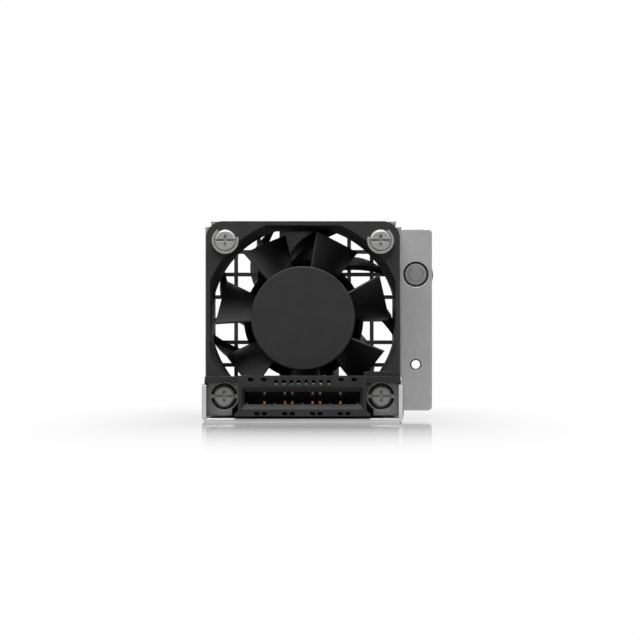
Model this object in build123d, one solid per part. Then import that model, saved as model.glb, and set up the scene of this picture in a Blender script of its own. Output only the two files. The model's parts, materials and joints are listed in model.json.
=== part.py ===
"""Hot-swappable fan module: a 40 mm axial fan in a folded sheet tray.

Millimetres, +Z up. The origin is on the tray's underside, on the fan's centre line,
in the plane of the fan's intake face. +Y points out of the chassis, towards the
faceplate; the blind-mate connector points along -Y. The ear is on the +X side.
"""

import math
import os

from build123d import *

# Sheet metal
SHEET = 0.8
BEND_RADIUS = 1.0
FLOOR_FRONT = 10.3
FRONT_TAPER = 0.6
FLANGE_TOP = 7.6
WALL_DEPTH = 12.7
WALL_ROOT = 0.8
WALL_STEP_RADIUS = 2.0
CORNER_GAP = 1.2
CORNER_SLOT_END = 12.0

# Fan outline
FAN_SIZE = 40.0
FAN_DEPTH = 28.0
FAN_SIDE_GAP = 0.05
FAN_FLOOR_GAP = 0.42
FAN_TOP_GAP = 0.03
SCREW_SPACING = 32.0

# Faceplate
CELL_PITCH = 4.91
CELL_BAR = 0.84
CELLS_PER_SIDE = 8
PATCH_ROWS = 2
EAR_EDGE = 27.83
EAR_LOW = 1.5
EAR_TOP = 40.85
EAR_CORNER = 0.9
FIXING_X = 24.33
PANEL_SCREW_Z = 31.1
PANEL_HOLE_RADIUS = 2.75
LIGHT_HOLE_Z = 11.5
LIGHT_HOLE_RADIUS = 0.95
LIGHT_HOLE_SINK = 0.3

# Tabs folded in from the low flanges
TAB_INNER_X = 14.4
TAB_LOW = 1.3
TAB_TOP = 8.6
TAB_FRONT = 5.6
TAB_NOTCH = 5.4
TAB_CORNER = 0.6

# Fan frame
FLANGE_THICKNESS = 4.5
FRAME_CORNER = 3.5
FRAME_HOLE_RADIUS = 2.15
DUCT_RADIUS = 19.6
DUCT_WALL = 1.1
DUCT_FLAT = 19.17
MOUTH_RADIUS = 20.6
MOUTH_DEPTH = 6.0
OUTLET_RADIUS = 20.3
OUTLET_DEPTH = 12.0
BASE_RADIUS = 12.8
BASE_DEPTH = 8.0
BASE_RECESS = 0.4
BASE_FLOOR = 1.2
BASE_WALL = 0.9
BASE_BOSS_WALL = 1.1
VANE_COUNT = 9
VANE_ANGLE = 9.5
VANE_OFFSET = 10.5
VANE_THICKNESS = 1.0
VANE_LEAD = 0.2
VANE_START = 2.5

# Impeller
BLADE_COUNT = 7
BLADE_ANGLE = 80.7
BLADE_SWEEP = 29.4
BLADE_CAMBER = 1.5
BLADE_TIP_RADIUS = 18.15
BLADE_FRONT = 1.4
BLADE_SETBACK = 0.6
BLADE_EDGE = 0.42
BLADE_MIDDLE = 0.85
BLADE_POINTS = 6
BLADE_ROOT = 0.6
HUB_RADIUS = 10.77
HUB_FRONT = 0.5
HUB_BASE_GAP = 2.2
HUB_WALL = 0.85
HUB_EDGE = 0.35

# Motor
PRESS_GAP = 0.02
YOKE_WALL = 0.6
YOKE_SETBACK = 1.0
MAGNET_WALL = 1.4
MAGNET_FRONT = 5.2
MAGNET_SETBACK = 1.8
AIR_GAP = 0.3
CORE_LEAD = 3.2
CORE_SETBACK = 1.2
CORE_HUB_RADIUS = 4.6
POLE_COUNT = 4
POLE_ARM = 1.9
POLE_SHOE = 1.0
POLE_SLOT = 3.0
INSULATOR = 0.5
COIL_BUILD = 1.25
COIL_GAP = 0.1
COIL_CORNER = 0.8
TUBE_RADIUS = 3.55
TUBE_FRONT = 5.4
BOSS_RADIUS = 2.6
BOSS_BACK = 4.2
BOSS_SPIGOT_RADIUS = 1.95
SHAFT_RADIUS = 1.5
SHAFT_END_GAP = 0.4
CLIP_RADIUS = 2.2
CLIP_GROOVE = 0.3
CLIP_GAP = 0.05
CLIP_THICKNESS = 0.35
CLIP_OPENING = 1.6
MOTOR_BOARD_RADIUS = 11.0
MOTOR_BOARD_THICKNESS = 0.8
MOTOR_BOARD_SETBACK = 1.0
DRIVER_CHIP = (3.0, 2.9, 1.1)
DRIVER_CHIP_X = 7.6

# Ball bearings
BEARING_RADIUS = 3.0
BEARING_WIDTH = 2.5
FRONT_BEARING = 6.0
REAR_BEARING_GAP = 1.1
RING_WALL = 0.45
BALL_RADIUS = 0.4
BALL_CLEARANCE = 0.05
BALL_COUNT = 6
RACE_SIDES = 8
CAGE_WALL = 0.28
CAGE_WIDTH = 1.1

# Preload spring between the boss and the front bearing
PRELOAD_WIRE = 0.15
PRELOAD_TURNS = 2
PRELOAD_GAP = 0.12

# Fan screws and their collars
SCREW_RADIUS = 1.48
TAP_CLEARANCE = 0.02
TAP_COLLAR_RADIUS = 2.05
TAP_COLLAR_HEIGHT = 0.7
HEAD_RADIUS = 2.2
HEAD_HEIGHT = 1.3
HEAD_EDGE = 0.35
HEAD_SLOT = 0.5
HEAD_SLOT_DEPTH = 0.3
HEAD_BAR = 0.8
COLLAR_BORE = 2.73
COLLAR_WALL = 0.25
COLLAR_TAB_GAP = 0.03
COLLAR_PROUD = 0.05
LOWER_HEAD_BACK = 4.6
COLLAR_SHANK_GAP = 0.1
CLIP_COLLAR_GAP = 0.05
CLIP_COLLAR_WALL = 0.5
CLIP_COLLAR_HEIGHT = 1.1
CLIP_COLLAR_OPENING = 110.0
CLIP_COLLAR_ANGLE = 70.0

# Blind-mate connector
HOUSING_FRONT = 13.6
HOUSING_DEPTH = 9.0
HOUSING_HALF_WIDTH = 12.93
HOUSING_LOW = 1.3
HOUSING_TOP = 9.43
HOUSING_FOOT = 0.8
HOUSING_FOOT_HEIGHT = 1.1
HOUSING_FOOT_EDGE = 0.4
SLOT_HALF_WIDTH = 11.66
SLOT_LOW = 3.73
SLOT_TOP = 6.24
SLOT_RIM_SIDE = 0.6
SLOT_RIM_HEIGHT = 1.0
SLOT_RIM_DEPTH = 1.0
DIVIDER_PITCH = 5.6
DIVIDER_RADIUS = 0.3
CONTACT_PITCH = 1.5
CONTACT_GROUPS = 4
CONTACT_GROUP_PITCH = 5.6
CONTACT_WIDTH = 0.45
CONTACT_THICKNESS = 0.2
CONTACT_GROOVE = 0.7
CONTACT_GROOVE_DEPTH = 0.6
CONTACT_ROOT = 0.36
CONTACT_STRAIGHT = 3.5
CONTACT_BUMP = 0.45
CONTACT_BUMP_REACH = 6.6
CONTACT_TIP = 1.25
CONTACT_REACH = 7.0
CONTACT_BEND = 0.4
SIGNAL_COUNT = 8
SIGNAL_WINDOW = 0.7
SIGNAL_WINDOW_LOW = 7.75
SIGNAL_WINDOW_HEIGHT = 0.9
WINDOW_DEPTH = 2.0
POWER_WINDOW = (1.0, 0.7)
POWER_WINDOW_X = (7.77, 10.4)
POWER_WINDOW_Z = 8.71
LOWER_WINDOW_Z = 1.86
SIGNAL_TIP_WIDTH = 0.5
SIGNAL_TIP_LENGTH = 1.8
SIGNAL_TIP_THICKNESS = 0.18
SIGNAL_TIP_SETBACK = 0.15
BOARD_THICKNESS = 1.2
BOARD_HALF_WIDTH = 12.4
BOARD_LOW = 1.4
BOARD_TOP = 7.6
CARRIER_HALF_WIDTH = 19.92
CARRIER_LOW = 7.93
CARRIER_TOP = 9.24
CARRIER_FRONT = 7.0
CARRIER_BACK = 0.3
CARRIER_STEP = 1.0
CARRIER_STEP_X = 12.5
CARRIER_STEP_FRONT = 4.5
CARRIER_STEP_CORNER = 0.4
CARRIER_FIT = 0.05
CARRIER_ARM_X = 13.0
PEG_RADIUS = 1.2
PEG_X = 8.5
PEG_HOLE_GAP = 0.05
PEG_RECESS = 0.1

# Captive panel screw
KNOB_RADIUS = 4.0
KNOB_LENGTH = 7.4
KNOB_WALL = 0.55
KNOB_FLUTES = 18
KNOB_FLUTE_RADIUS = 0.4
KNOB_FLUTE_SIDES = 4
KNOB_EDGE = 0.5
KNOB_SLOT = (0.9, 5.4, 0.9)
KNOB_SHANK_GAP = 0.02
TRAVEL = 4.0
TRAVEL_SPARE = 0.3
PANEL_TIP_RADIUS = 1.5
PANEL_TIP_LENGTH = 4.0
PANEL_TIP_CHAMFER = 0.1
PANEL_NECK_RADIUS = 1.1
FERRULE_SHANK_RADIUS = 2.3
FERRULE_FLANGE_RADIUS = 3.4
FERRULE_FLANGE = 0.7
FERRULE_SLEEVE_RADIUS = 2.4
FERRULE_BORE_GAP = 0.05
FERRULE_LIP = 0.8
FERRULE_LIP_GAP = 0.08
WASHER_RADIUS = 3.2
WASHER_THICKNESS = 0.35
WASHER_GAP = 0.1
PANEL_SPRING_WIRE = 0.2
PANEL_SPRING_TURNS = 4

# Both springs' wire, drawn with flats
WIRE_SIDES = 6

# Places that follow from the sizes above
FAN_HALF = FAN_SIZE / 2
DUCT_WALL_RADIUS = DUCT_RADIUS + DUCT_WALL
FAN_LOW = SHEET + FAN_FLOOR_GAP
FAN_Z = FAN_LOW + FAN_HALF
BOX_INNER = FAN_HALF + FAN_SIDE_GAP
BOX_HALF = BOX_INNER + SHEET
FRONT_HALF_WIDTH = BOX_HALF - FRONT_TAPER
ROOF_LOW = FAN_LOW + FAN_SIZE + FAN_TOP_GAP
BOX_TOP = ROOF_LOW + SHEET
PLATE_BACK = FAN_DEPTH + SHEET
WALL_EDGE = PLATE_BACK - WALL_DEPTH
SCREW_X = SCREW_SPACING / 2
UPPER_SCREW_Z = FAN_Z + SCREW_SPACING / 2
LOWER_SCREW_Z = FAN_Z - SCREW_SPACING / 2
COLLAR_RADIUS = COLLAR_BORE + COLLAR_WALL
HOUSING_BACK = HOUSING_FRONT - HOUSING_DEPTH
SLOT_MIDDLE = (SLOT_LOW + SLOT_TOP) / 2
YOKE_RADIUS = HUB_RADIUS - HUB_WALL - PRESS_GAP
YOKE_FRONT = HUB_FRONT + HUB_WALL
MAGNET_RADIUS = YOKE_RADIUS - YOKE_WALL - PRESS_GAP
CORE_RADIUS = MAGNET_RADIUS - MAGNET_WALL - AIR_GAP
BASE_BACK = FAN_DEPTH - BASE_RECESS
BASE_FRONT = BASE_BACK - BASE_DEPTH
BASE_FLOOR_FRONT = BASE_BACK - BASE_FLOOR
VANE_FRONT = BASE_FRONT - VANE_LEAD
HUB_BACK = BASE_FRONT - HUB_BASE_GAP
BLADE_BACK = HUB_BACK - BLADE_SETBACK
YOKE_BACK = HUB_BACK - YOKE_SETBACK
MAGNET_BACK = HUB_BACK - MAGNET_SETBACK
CORE_FRONT = MAGNET_FRONT + CORE_LEAD
CORE_BACK = MAGNET_BACK - CORE_SETBACK
MOTOR_BOARD_FRONT = BASE_FRONT + MOTOR_BOARD_SETBACK
SHAFT_BACK = BASE_FLOOR_FRONT - SHAFT_END_GAP
CLIP_FRONT = BASE_FLOOR_FRONT - REAR_BEARING_GAP
REAR_BEARING = CLIP_FRONT - BEARING_WIDTH
BALL_PITCH_RADIUS = (SHAFT_RADIUS + BEARING_RADIUS) / 2
CONTACT_X = [
    (group - (CONTACT_GROUPS - 1) / 2) * CONTACT_GROUP_PITCH + side * CONTACT_PITCH / 2
    for group in range(CONTACT_GROUPS)
    for side in (-1, 1)
]
LOADED_X = CONTACT_X[1:-1]
PEG_Y = -(CARRIER_BACK + HOUSING_BACK - BOARD_THICKNESS) / 2
FERRULE_SEAT = PLATE_BACK + FERRULE_FLANGE
SLEEVE_FLOOR = FAN_DEPTH + PANEL_TIP_LENGTH + FERRULE_BORE_GAP
SLEEVE_BACK = SLEEVE_FLOOR + FERRULE_LIP
KNOB_FLOOR = SLEEVE_BACK + TRAVEL + TRAVEL_SPARE + WASHER_THICKNESS + WASHER_GAP
KNOB_FRONT = FERRULE_SEAT + TRAVEL + TRAVEL_SPARE
KNOB_BACK = KNOB_FRONT + KNOB_LENGTH
WASHER_FRONT = KNOB_FLOOR - WASHER_GAP - WASHER_THICKNESS


def slab(profile, y_from, y_to):
    """A sketch drawn in X and Z, made solid between two depths."""
    return extrude(Plane.XZ.offset(-y_to) * profile, amount=y_to - y_from)


def fan_slab(profile, y_from, y_to):
    """The same, for a sketch drawn about the fan's axis."""
    return Pos(0, 0, FAN_Z) * slab(profile, y_from, y_to)


def fan_ring(outer, inner, y_from, y_to):
    return fan_slab(Circle(outer) - Circle(inner), y_from, y_to)


def turned(x, z, *points):
    """A closed outline of (radius, depth) points, turned about a line along Y."""
    profile = make_face(Polyline(*points, close=True))
    return Pos(x, 0, z) * revolve(profile, Axis.Y)


def fan_spun(shape, degrees):
    """Turned about the Y axis, anticlockwise as seen from the intake."""
    return Rot(Y=-degrees) * shape


def coil_spring(x, z, y_from, y_to, radius, wire, turns):
    height = y_to - y_from - 2 * wire
    path = Helix(height / turns, height, radius)
    section = Plane(origin=path @ 0, z_dir=path % 0) * RegularPolygon(wire, WIRE_SIDES)
    return Pos(x, y_from + wire, z) * Rot(X=-90) * sweep(section, path, is_frenet=True)


def both_sides(shape):
    return [shape, mirror(shape, about=Plane.YZ)]


def screw_places():
    for z in (UPPER_SCREW_Z, LOWER_SCREW_Z):
        for x in (-SCREW_X, SCREW_X):
            yield x, z


def grille_cells():
    """Square cells, without the four at the screws and the solid patch at the top."""
    half = (CELLS_PER_SIDE - 1) / 2
    cells = []
    for column in range(CELLS_PER_SIDE):
        for row in range(CELLS_PER_SIDE):
            u = column - half
            v = row - half
            at_screw = abs(u) == half and abs(v) == half
            in_patch = abs(u) < 1 and v > half - PATCH_ROWS
            if at_screw or in_patch:
                continue
            side = CELL_PITCH - CELL_BAR
            cells.append(Pos(u * CELL_PITCH, FAN_Z + v * CELL_PITCH) * Rectangle(side, side))
    return cells


def plate_blank():
    """The faceplate's outline with its ear, before anything is punched in it."""
    main = Pos(0, BOX_TOP / 2) * Rectangle(2 * BOX_HALF, BOX_TOP)
    ear_width = EAR_EDGE - BOX_HALF
    ear_height = EAR_TOP - EAR_LOW
    ear = Pos(EAR_EDGE - ear_width, (EAR_TOP + EAR_LOW) / 2) * RectangleRounded(
        2 * ear_width, ear_height, EAR_CORNER
    )
    plate = main + ear
    notch = Pos(0, (BOX_TOP + EAR_TOP) / 2) * Rectangle(2 * (BOX_HALF + SHEET), BOX_TOP - EAR_TOP)
    roof = Pos(0, BOX_TOP / 2) * Rectangle(2 * (BOX_HALF - CORNER_GAP), BOX_TOP)
    return slab(plate - (notch - roof), FAN_DEPTH, PLATE_BACK)


def plate_holes():
    """The grille's cells, the captive screw's hole and the countersunk light hole."""
    holes = Sketch() + grille_cells()
    holes += Pos(FIXING_X, PANEL_SCREW_Z) * Circle(PANEL_HOLE_RADIUS)
    holes += Pos(FIXING_X, LIGHT_HOLE_Z) * Circle(LIGHT_HOLE_RADIUS)
    sink = Cone(LIGHT_HOLE_RADIUS + LIGHT_HOLE_SINK, LIGHT_HOLE_RADIUS, LIGHT_HOLE_SINK)
    place = Pos(FIXING_X, FAN_DEPTH + LIGHT_HOLE_SINK / 2, LIGHT_HOLE_Z)
    return slab(holes, FAN_DEPTH, PLATE_BACK) + place * Rot(X=-90) * sink


def tapped_collars():
    """Drawn collars that locate the fan and take the screws' threads."""
    tap = SCREW_RADIUS + TAP_CLEARANCE
    collars = []
    bores = []
    for x, z in screw_places():
        ring = Pos(x, z) * Circle(TAP_COLLAR_RADIUS)
        collars.append(slab(ring, FAN_DEPTH - TAP_COLLAR_HEIGHT, PLATE_BACK))
        bores.append(slab(Pos(x, z) * Circle(tap), FAN_DEPTH - SHEET, PLATE_BACK + SHEET))
    return collars, bores


def side_wall():
    """The right side: a low flange that narrows to the front, and a tall wall."""
    plan = make_face(
        Polyline(
            (FRONT_HALF_WIDTH, -FLOOR_FRONT),
            (BOX_HALF, 0),
            (BOX_HALF, PLATE_BACK),
            (BOX_INNER, PLATE_BACK),
            (BOX_INNER, 0),
            (FRONT_HALF_WIDTH - SHEET, -FLOOR_FRONT),
            close=True,
        )
    )
    low = extrude(plan, FLANGE_TOP)
    tall = Pos(BOX_INNER + SHEET / 2, (WALL_EDGE + PLATE_BACK) / 2, EAR_TOP / 2) * Box(
        SHEET, WALL_DEPTH, EAR_TOP
    )
    wall = low + tall
    step = wall.edges().filter_by(Axis.X).filter_by(
        lambda e: abs(e.center().Y - WALL_EDGE) < 0.01 and abs(e.center().Z - FLANGE_TOP) < 0.01
    )
    return fillet(step, WALL_STEP_RADIUS)


def tab():
    """A tab lanced out of the right flange, hooked round the lower screw's collar."""
    width = BOX_INNER - TAB_INNER_X
    outline = Pos(TAB_INNER_X + width / 2, (TAB_LOW + TAB_TOP) / 2) * Rectangle(
        width, TAB_TOP - TAB_LOW
    )
    corner = outline.vertices().sort_by(Axis.Y)[-2:].sort_by(Axis.X)[0]
    outline = fillet(corner, TAB_CORNER)
    outline -= Pos(SCREW_X, LOWER_SCREW_Z) * Circle(COLLAR_RADIUS + COLLAR_TAB_GAP)
    return slab(outline, -TAB_FRONT, -TAB_FRONT + SHEET)


def sheet_metal():
    """The whole folded sheet: floor, flanges, walls, roof and faceplate blank."""
    floor = extrude(
        make_face(
            Polyline(
                (-FRONT_HALF_WIDTH, -FLOOR_FRONT),
                (FRONT_HALF_WIDTH, -FLOOR_FRONT),
                (BOX_HALF, 0),
                (BOX_HALF, PLATE_BACK),
                (-BOX_HALF, PLATE_BACK),
                (-BOX_HALF, 0),
                close=True,
            )
        ),
        SHEET,
    )
    roof = Pos(0, PLATE_BACK - WALL_DEPTH / 2, ROOF_LOW + SHEET / 2) * Box(
        2 * (BOX_HALF - CORNER_GAP), WALL_DEPTH, SHEET
    )
    sheet = floor + both_sides(side_wall()) + roof + plate_blank()
    return fillet(outer_bends(sheet), BEND_RADIUS)


def plate_layer():
    """What the faceplate takes up of the sheet, with the root of the wall beside its ear."""
    root_x = BOX_INNER + SHEET
    root = Pos(root_x, BOX_TOP / 2) * Rectangle(2 * SHEET, 2 * BOX_TOP)
    layer = slab(Rectangle(4 * FAN_SIZE, 4 * FAN_SIZE), FAN_DEPTH, PLATE_BACK)
    return layer + slab(root, FAN_DEPTH - WALL_ROOT, PLATE_BACK)


def faceplate():
    collars, bores = tapped_collars()
    return (sheet_metal() & plate_layer()) - plate_holes() + collars - bores


def folded_flanges():
    """The tray in front of the faceplate, then the flange along its top."""
    return (sheet_metal() - plate_layer()).solids().sort_by(Axis.Z)


def top_flange():
    return folded_flanges()[-1]


def tray():
    tab_back = -TAB_FRONT + SHEET
    slot_length = CORNER_SLOT_END - tab_back
    slot = Pos(BOX_HALF - CORNER_GAP / 2, tab_back + slot_length / 2, 0) * Box(
        2 * CORNER_GAP, slot_length, 2 * TAB_LOW
    )
    notch = Pos(BOX_INNER, tab_back + TAB_NOTCH / 2, FLANGE_TOP / 2 + TAB_LOW) * Box(
        4 * SHEET, TAB_NOTCH, FLANGE_TOP
    )
    peg_hole = Pos(PEG_X, PEG_Y, 0) * Cylinder(PEG_RADIUS + PEG_HOLE_GAP, 4 * SHEET)
    cuts = both_sides(slot) + both_sides(notch) + both_sides(peg_hole)
    return folded_flanges()[0] - cuts + both_sides(tab())


def outer_bends(sheet):
    """The outside edges where the sheet is folded."""
    low = sheet.edges().filter_by(
        lambda e: e.center().Z < 0.01 and abs(e.center().X) > FRONT_HALF_WIDTH - 0.1
    )
    back = sheet.edges().filter_by(
        lambda e: e.center().Y > PLATE_BACK - 0.01
        and e.length > FAN_HALF
        and (
            e.center().Z < 0.01
            or e.center().Z > BOX_TOP - 0.01
            or e.center().X < -BOX_HALF + 0.01
        )
    )
    return low + back


def duct_cutter():
    """The air path: a rounded mouth, a round duct and a flared outlet, with flat sides."""
    overrun = 1.0
    mouth = [
        (0, -overrun),
        (MOUTH_RADIUS, -overrun),
        (MOUTH_RADIUS, 0),
    ]
    outlet = [
        (OUTLET_RADIUS, FAN_DEPTH),
        (OUTLET_RADIUS, FAN_DEPTH + overrun),
        (0, FAN_DEPTH + overrun),
    ]
    duct_front = (DUCT_RADIUS, MOUTH_DEPTH)
    duct_back = (DUCT_RADIUS, FAN_DEPTH - OUTLET_DEPTH)
    lines = Curve() + [
        Polyline(*mouth),
        TangentArc(duct_front, mouth[-1], tangent=(0, -1)),
        Line(duct_front, duct_back),
        TangentArc(duct_back, outlet[0], tangent=(0, 1)),
        Polyline(*outlet),
        Line(outlet[-1], mouth[0]),
    ]
    turned = revolve(make_face(lines), Axis.Y)
    sides = slab(Rectangle(2 * DUCT_FLAT, 2 * DUCT_FLAT), -overrun, FAN_DEPTH + overrun)
    return Pos(0, 0, FAN_Z) * (turned & sides)


def guide_vane():
    """A straight vane along +X, nearly tangent to the motor base."""
    middle = Pos(VANE_START + FAN_HALF / 2, VANE_OFFSET)
    return slab(middle * Rectangle(FAN_HALF, VANE_THICKNESS), VANE_FRONT, BASE_BACK)


def guide_vanes():
    """The vanes, cut off where they meet the duct's wall."""
    vane = guide_vane()
    vanes = Part() + [
        fan_spun(vane, VANE_ANGLE + 360 * index / VANE_COUNT) for index in range(VANE_COUNT)
    ]
    return (Pos(0, 0, FAN_Z) * vanes) & duct_cutter()


def motor_base():
    """The cup behind the motor, with the boss for the bearing tube and the guide vanes."""
    tube = TUBE_RADIUS + PRESS_GAP
    base = guide_vanes() + fan_slab(Circle(BASE_RADIUS), BASE_FRONT, BASE_BACK)
    base -= fan_slab(Circle(BASE_RADIUS - BASE_WALL), VANE_FRONT, BASE_FLOOR_FRONT)
    boss_front = MOTOR_BOARD_FRONT + MOTOR_BOARD_THICKNESS
    return base + fan_ring(tube + BASE_BOSS_WALL, tube, boss_front, BASE_FLOOR_FRONT)


def fan_frame():
    square = RectangleRounded(FAN_SIZE, FAN_SIZE, FRAME_CORNER)
    body = square & Circle(DUCT_WALL_RADIUS)
    frame = fan_slab(square, 0, FLANGE_THICKNESS)
    frame += fan_slab(square, FAN_DEPTH - FLANGE_THICKNESS, FAN_DEPTH)
    frame += fan_slab(body, FLANGE_THICKNESS, FAN_DEPTH - FLANGE_THICKNESS)
    frame -= duct_cutter()
    holes = [slab(Pos(x, z) * Circle(FRAME_HOLE_RADIUS), 0, FAN_DEPTH) for x, z in screw_places()]
    return frame - holes


def blade_section(distance):
    """The blade cut square to its radial axis; every line along the blade is radial."""
    half_sweep = math.radians(BLADE_SWEEP) / 2
    upper = []
    lower = []
    for index in range(BLADE_POINTS):
        s = index / (BLADE_POINTS - 1)
        turn = half_sweep * (2 * (1 - s) ** BLADE_CAMBER - 1)
        turn_rate = -2 * half_sweep * BLADE_CAMBER * (1 - s) ** (BLADE_CAMBER - 1)
        y = BLADE_FRONT + s * (BLADE_BACK - BLADE_FRONT)
        z = distance * math.tan(turn)
        slope = Vector(BLADE_BACK - BLADE_FRONT, distance * turn_rate / math.cos(turn) ** 2)
        across = slope.normalized().rotate(Axis.Z, 90)
        half = (BLADE_EDGE + (BLADE_MIDDLE - BLADE_EDGE) * math.sin(math.pi * s)) / 2
        upper.append(Vector(y, z) + across * half)
        lower.append(Vector(y, z) - across * half)
    outline = Curve() + [
        Spline(*upper),
        Line(upper[-1], lower[-1]),
        Spline(*reversed(lower)),
        Line(lower[0], upper[0]),
    ]
    return Plane.YZ.offset(distance) * make_face(outline)


def blade():
    """A blade with a flat tip, whose corners lie on the tip circle."""
    root = HUB_RADIUS - HUB_WALL - BLADE_ROOT
    tip = BLADE_TIP_RADIUS * math.cos(math.radians(BLADE_SWEEP) / 2)
    return loft([blade_section(root), blade_section(tip)], ruled=True)


def impeller():
    hub = slab(Circle(HUB_RADIUS), HUB_FRONT, HUB_BACK)
    hub = fillet(hub.edges().sort_by(Axis.Y)[0], HUB_EDGE)
    one = blade()
    first = BLADE_ANGLE - BLADE_SWEEP / 2
    for index in range(BLADE_COUNT):
        hub += fan_spun(one, first + 360 * index / BLADE_COUNT)
    hub -= slab(Circle(HUB_RADIUS - HUB_WALL), HUB_FRONT + HUB_WALL, HUB_BACK)
    return Pos(0, 0, FAN_Z) * hub


def rotor_yoke():
    inner = YOKE_RADIUS - YOKE_WALL
    hole = BOSS_SPIGOT_RADIUS + PRESS_GAP
    plate = YOKE_FRONT + YOKE_WALL
    return turned(
        0,
        FAN_Z,
        (hole, YOKE_FRONT),
        (YOKE_RADIUS, YOKE_FRONT),
        (YOKE_RADIUS, YOKE_BACK),
        (inner, YOKE_BACK),
        (inner, plate),
        (hole, plate),
    )


def rotor_magnet():
    return fan_ring(MAGNET_RADIUS, MAGNET_RADIUS - MAGNET_WALL, MAGNET_FRONT, MAGNET_BACK)


def shaft_boss():
    bore = SHAFT_RADIUS + PRESS_GAP
    plate = YOKE_FRONT + YOKE_WALL
    boss = fan_ring(BOSS_RADIUS, bore, plate, BOSS_BACK)
    return boss + fan_ring(BOSS_SPIGOT_RADIUS, bore, YOKE_FRONT, plate)


def rotor_shaft():
    shaft = fan_slab(Circle(SHAFT_RADIUS), YOKE_FRONT, SHAFT_BACK)
    groove = fan_ring(
        BEARING_RADIUS, SHAFT_RADIUS - CLIP_GROOVE, CLIP_FRONT, CLIP_FRONT + CLIP_THICKNESS + CLIP_GAP
    )
    return shaft - groove


def shaft_clip():
    clip = Circle(CLIP_RADIUS) - Circle(SHAFT_RADIUS - CLIP_GROOVE + PRESS_GAP)
    clip -= Pos(0, CLIP_RADIUS / 2) * Rectangle(CLIP_OPENING, CLIP_RADIUS)
    return fan_slab(clip, CLIP_FRONT, CLIP_FRONT + CLIP_THICKNESS)


def preload_spring():
    radius = SHAFT_RADIUS + PRELOAD_GAP + PRELOAD_WIRE
    return coil_spring(0, FAN_Z, BOSS_BACK, FRONT_BEARING, radius, PRELOAD_WIRE, PRELOAD_TURNS)


def bearing_middles():
    return [front + BEARING_WIDTH / 2 for front in (FRONT_BEARING, REAR_BEARING)]


def bearing_rings(outer, inner):
    """A ring of each bearing, with the groove that the balls run in, drawn with flats."""
    section = RegularPolygon(BALL_RADIUS + BALL_CLEARANCE, RACE_SIDES, major_radius=False)
    groove = revolve(Pos(BALL_PITCH_RADIUS, 0) * section, Axis.Y)
    rings = []
    for middle in bearing_middles():
        ring = fan_ring(outer, inner, middle - BEARING_WIDTH / 2, middle + BEARING_WIDTH / 2)
        rings.append(ring - Pos(0, middle, FAN_Z) * groove)
    return Compound(children=rings)


def bearing_inner_rings():
    bore = SHAFT_RADIUS + PRESS_GAP
    return bearing_rings(bore + RING_WALL, bore)


def bearing_outer_rings():
    return bearing_rings(BEARING_RADIUS, BEARING_RADIUS - RING_WALL)


def ball_places():
    for middle in bearing_middles():
        for index in range(BALL_COUNT):
            spun = Rot(Y=360 * index / BALL_COUNT)
            yield Pos(0, middle, FAN_Z) * spun * Pos(BALL_PITCH_RADIUS, 0, 0)


def bearing_balls():
    return Compound(children=[place * Sphere(BALL_RADIUS) for place in ball_places()])


def bearing_cages():
    outer = BALL_PITCH_RADIUS + CAGE_WALL / 2
    inner = BALL_PITCH_RADIUS - CAGE_WALL / 2
    half = CAGE_WIDTH / 2
    rings = [fan_ring(outer, inner, middle - half, middle + half) for middle in bearing_middles()]
    cages = Part() + rings
    pocket = 2 * (BALL_RADIUS + BALL_CLEARANCE)
    for place in ball_places():
        cages -= place * Box(4 * CAGE_WALL, pocket, pocket)
    return cages


def bearing_tube():
    bore = BEARING_RADIUS + PRESS_GAP
    return fan_ring(TUBE_RADIUS, bore, TUBE_FRONT, BASE_FLOOR_FRONT)


def pole_shape(radius):
    """The stator seen along its axis: a hub, four arms and their shoes."""
    shape = Circle(CORE_HUB_RADIUS)
    shape += Rectangle(2 * radius - POLE_SHOE, POLE_ARM)
    shape += Rectangle(POLE_ARM, 2 * radius - POLE_SHOE)
    shoes = Circle(radius) - Circle(radius - POLE_SHOE)
    for degrees in (45, 135):
        shoes -= Rot(Z=degrees) * Rectangle(4 * radius, POLE_SLOT)
    return shape + shoes - Circle(TUBE_RADIUS + PRESS_GAP)


def stator_core():
    return fan_slab(pole_shape(CORE_RADIUS), CORE_FRONT, CORE_BACK)


def stator_insulators():
    shape = pole_shape(CORE_RADIUS - AIR_GAP)
    front = fan_slab(shape, CORE_FRONT - INSULATOR, CORE_FRONT)
    back = fan_slab(shape, CORE_BACK, CORE_BACK + INSULATOR)
    return Compound(children=[front, back])


def stator_coils():
    """Windings round the four arms, between the hub and the shoes."""
    inner_height = CORE_BACK - CORE_FRONT + 2 * INSULATOR + 2 * COIL_GAP
    inner_width = POLE_ARM + 2 * COIL_GAP
    outer_width = inner_width + 2 * COIL_BUILD
    turn = RectangleRounded(outer_width, inner_height + 2 * COIL_BUILD, COIL_CORNER)
    turn -= Rectangle(inner_width, inner_height)
    start = CORE_HUB_RADIUS + COIL_GAP
    shoe = CORE_RADIUS - AIR_GAP - POLE_SHOE
    end = math.sqrt(shoe**2 - (outer_width / 2) ** 2) - COIL_GAP
    along = Plane(origin=(start, 0, 0), x_dir=(0, 0, 1), z_dir=(1, 0, 0))
    winding = Pos(0, (CORE_FRONT + CORE_BACK) / 2, FAN_Z) * extrude(along * turn, end - start)
    around = Pos(0, 0, FAN_Z)
    coils = []
    for index in range(POLE_COUNT):
        coils.append(around * fan_spun(around.inverse() * winding, index * 360 / POLE_COUNT))
    return Compound(children=coils)


def motor_board():
    bore = TUBE_RADIUS + PRESS_GAP
    back = MOTOR_BOARD_FRONT + MOTOR_BOARD_THICKNESS
    return fan_ring(MOTOR_BOARD_RADIUS, bore, MOTOR_BOARD_FRONT, back)


def driver_chip():
    width, height, depth = DRIVER_CHIP
    outline = Pos(DRIVER_CHIP_X, 0) * Rectangle(width, height)
    return fan_slab(outline, MOTOR_BOARD_FRONT - depth, MOTOR_BOARD_FRONT)


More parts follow.
